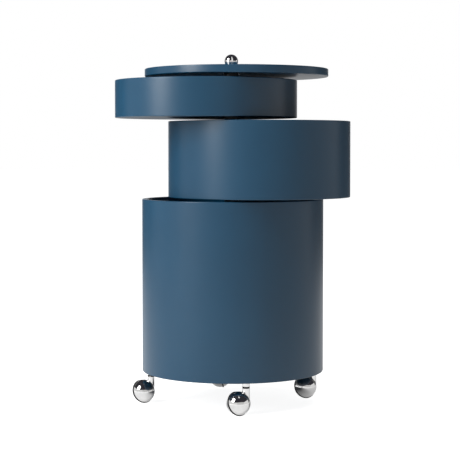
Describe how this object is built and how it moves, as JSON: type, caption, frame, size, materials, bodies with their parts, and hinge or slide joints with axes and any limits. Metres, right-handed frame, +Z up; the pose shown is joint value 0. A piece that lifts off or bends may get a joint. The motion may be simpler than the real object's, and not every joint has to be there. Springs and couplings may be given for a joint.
{
  "type": "bar cabinet",
  "caption": "Round bar cabinet on ball casters: open drums and a flat lid stacked on one off-centre axle, each swinging out sideways to reach the bottles below",
  "frame": {"origin": "on the floor, on the axis of the base drum; the box of the object as it stands is centred on it within 4.1 mm, which is under half a per cent of its diagonal", "axes": "+Z up; -Y towards the front, where the axle stands; +X to the right seen from the front"},
  "size_m": [0.491, 0.3931, 0.7166],
  "materials": {
    "lacquer": "bent plywood in satin petrol-blue lacquer",
    "inner_lacquer": "wood panel in matt dark blue lacquer",
    "chrome": "bright chrome plate on die-cast metal",
    "zinc_steel": "zinc-plated steel",
    "axle_steel": "ground bright steel bar",
    "black_steel": "black stove-enamelled steel tube",
    "lid_metal": "turned aluminium",
    "black_nylon": "black nylon",
    "white_nylon": "natural nylon",
    "tread_rubber": "dark hard rubber"
  },
  "bodies": {
    "cabinet": {"base_wall": "lacquer", "base_floor": "inner_lacquer", "base_column": "black_steel", "column_plate": "zinc_steel", "column_screws": "zinc_steel", "axle_rod": "axle_steel", "axle_washer": "zinc_steel", "axle_nut": "zinc_steel", "caster_sockets": "chrome", "low_spacer": "black_nylon", "mid_spacer": "black_nylon", "top_spacer": "black_nylon", "knob": "chrome"},
    "middle_drum": {"middle_wall": "lacquer", "middle_floor": "inner_lacquer", "middle_sleeve": "black_steel", "middle_plate": "zinc_steel", "middle_screws": "zinc_steel", "middle_bushes": "white_nylon"},
    "upper_drum": {"upper_wall": "lacquer", "upper_floor": "inner_lacquer", "upper_sleeve": "black_steel", "upper_plate": "zinc_steel", "upper_screws": "zinc_steel", "upper_bushes": "white_nylon"},
    "lid": {"lid_panel": "lacquer", "lid_hub": "lid_metal", "lid_bush": "white_nylon", "lid_screws": "zinc_steel"},
    "front_caster": {"front_hood": "chrome", "front_spindle": "zinc_steel", "front_swivel_washer": "black_nylon", "front_pin": "zinc_steel"},
    "front_roller": {"front_wheel": "chrome", "front_tread": "tread_rubber"},
    "right_caster": {"right_hood": "chrome", "right_spindle": "zinc_steel", "right_swivel_washer": "black_nylon", "right_pin": "zinc_steel"},
    "right_roller": {"right_wheel": "chrome", "right_tread": "tread_rubber"},
    "back_caster": {"back_hood": "chrome", "back_spindle": "zinc_steel", "back_swivel_washer": "black_nylon", "back_pin": "zinc_steel"},
    "back_roller": {"back_wheel": "chrome", "back_tread": "tread_rubber"},
    "left_caster": {"left_hood": "chrome", "left_spindle": "zinc_steel", "left_swivel_washer": "black_nylon", "left_pin": "zinc_steel"},
    "left_roller": {"left_wheel": "chrome", "left_tread": "tread_rubber"}
  },
  "joints": [
    {"name": "middle_swing", "type": "hinge", "parent": "cabinet", "child": "middle_drum", "pos_m": [0, -0.16, 0.429], "axis": [0, 0, 1], "continuous": true},
    {"name": "upper_swing", "type": "hinge", "parent": "cabinet", "child": "upper_drum", "pos_m": [0, -0.16, 0.594], "axis": [0, 0, 1], "continuous": true},
    {"name": "lid_swing", "type": "hinge", "parent": "cabinet", "child": "lid", "pos_m": [0, -0.16, 0.68], "axis": [0, 0, 1], "continuous": true},
    {"name": "front_swivel", "type": "hinge", "parent": "cabinet", "child": "front_caster", "pos_m": [0.02945, -0.17048, 0.065], "axis": [0, 0, 1], "continuous": true},
    {"name": "front_roll", "type": "hinge", "parent": "front_caster", "child": "front_roller", "pos_m": [0.0143, -0.17731, 0.02411], "axis": [-0.596, 0.7103, -0.3746], "continuous": true},
    {"name": "right_swivel", "type": "hinge", "parent": "cabinet", "child": "right_caster", "pos_m": [0.17048, 0.02945, 0.065], "axis": [0, 0, 1], "continuous": true},
    {"name": "right_roll", "type": "hinge", "parent": "right_caster", "child": "right_roller", "pos_m": [0.15407, 0.02676, 0.02411], "axis": [-0.3918, 0.8403, -0.3746], "continuous": true},
    {"name": "back_swivel", "type": "hinge", "parent": "cabinet", "child": "back_caster", "pos_m": [-0.02945, 0.17048, 0.065], "axis": [0, 0, 1], "continuous": true},
    {"name": "back_roll", "type": "hinge", "parent": "back_caster", "child": "back_roller", "pos_m": [-0.0311, 0.15394, 0.02411], "axis": [-0.9131, -0.161, -0.3746], "continuous": true},
    {"name": "left_swivel", "type": "hinge", "parent": "cabinet", "child": "left_caster", "pos_m": [-0.17048, -0.02945, 0.065], "axis": [0, 0, 1], "continuous": true},
    {"name": "left_roll", "type": "hinge", "parent": "left_caster", "child": "left_roller", "pos_m": [-0.18585, -0.03575, 0.02411], "axis": [-0.5708, 0.7306, -0.3746], "continuous": true}
  ]
}
